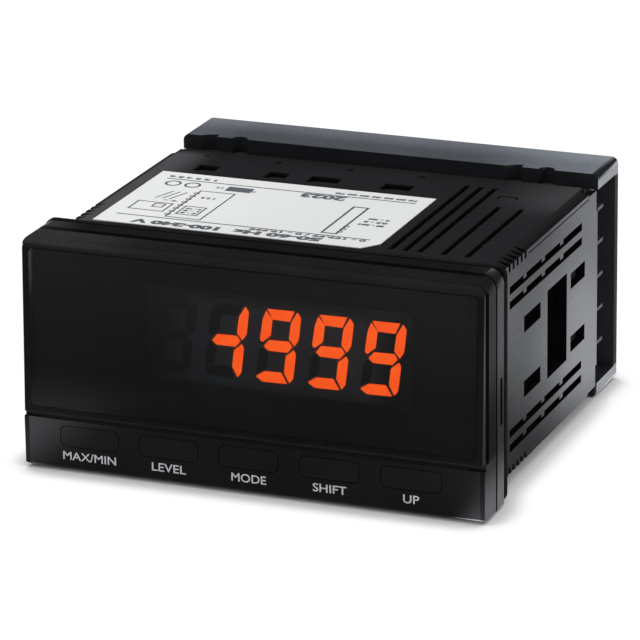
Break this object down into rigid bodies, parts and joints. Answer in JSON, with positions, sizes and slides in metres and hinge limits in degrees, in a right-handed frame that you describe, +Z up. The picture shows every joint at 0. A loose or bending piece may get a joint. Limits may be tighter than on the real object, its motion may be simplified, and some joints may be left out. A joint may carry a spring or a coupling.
{
  "type": "digital panel meter",
  "caption": "Black panel-mount process meter with an orange LED display behind a smoked window, a row of push keys, a vented case and a clip-on terminal cover.",
  "frame": {"origin": "middle of the panel cut-out, in the plane of the panel's front face, where the gasket's rear face seats", "axes": "+X right as seen from the front, +Y back into the panel, +Z up"},
  "size_m": [0.096, 0.0891, 0.048],
  "materials": {
    "front_black": "fine matt moulding",
    "smoked_window": "gloss smoked",
    "module_black": "matt",
    "led_lit": "lit orange-red",
    "led_dark": "unlit",
    "key_black": "fine matt moulding",
    "switch_grey": "matt",
    "board_green": "solder mask",
    "gasket_rubber": "soft matt",
    "case_black": "fine matt moulding",
    "label_white": "printed film",
    "core_steel": "lacquered laminations",
    "sleeve_blue": "shrink sleeve",
    "relay_ivory": "moulded cap",
    "block_black": "matt moulding",
    "plate_brass": "tinned brass",
    "screw_steel": "zinc plated",
    "cover_black": "smooth satin moulding"
  },
  "bodies": {
    "meter_body": {"bezel": "front_black", "display_window": "smoked_window", "display_module": "module_black", "lit_segments": "led_lit", "unlit_segments": "led_dark", "tact_switches": "switch_grey", "display_board": "board_green", "panel_gasket": "gasket_rubber", "case": "case_black", "top_label": "label_white", "main_board": "board_green", "power_board": "board_green", "transformer": "core_steel", "filter_capacitors": "sleeve_blue", "output_relays": "relay_ivory", "board_connectors": "module_black", "terminal_block": "block_black", "terminal_plates": "plate_brass", "terminal_screws": "screw_steel", "terminal_cover": "cover_black"},
    "key_max_min": {"key_max_min": "key_black"},
    "key_level": {"key_level": "key_black"},
    "key_mode": {"key_mode": "key_black"},
    "key_shift": {"key_shift": "key_black"},
    "key_up": {"key_up": "key_black"}
  },
  "joints": [
    {"name": "key_max_min_press", "type": "slide", "parent": "meter_body", "child": "key_max_min", "axis": [0, 1, 0], "range_m": [0, 0.0005], "stiffness_N_per_m": 1500},
    {"name": "key_level_press", "type": "slide", "parent": "meter_body", "child": "key_level", "axis": [0, 1, 0], "range_m": [0, 0.0005], "stiffness_N_per_m": 1500},
    {"name": "key_mode_press", "type": "slide", "parent": "meter_body", "child": "key_mode", "axis": [0, 1, 0], "range_m": [0, 0.0005], "stiffness_N_per_m": 1500},
    {"name": "key_shift_press", "type": "slide", "parent": "meter_body", "child": "key_shift", "axis": [0, 1, 0], "range_m": [0, 0.0005], "stiffness_N_per_m": 1500},
    {"name": "key_up_press", "type": "slide", "parent": "meter_body", "child": "key_up", "axis": [0, 1, 0], "range_m": [0, 0.0005], "stiffness_N_per_m": 1500}
  ]
}
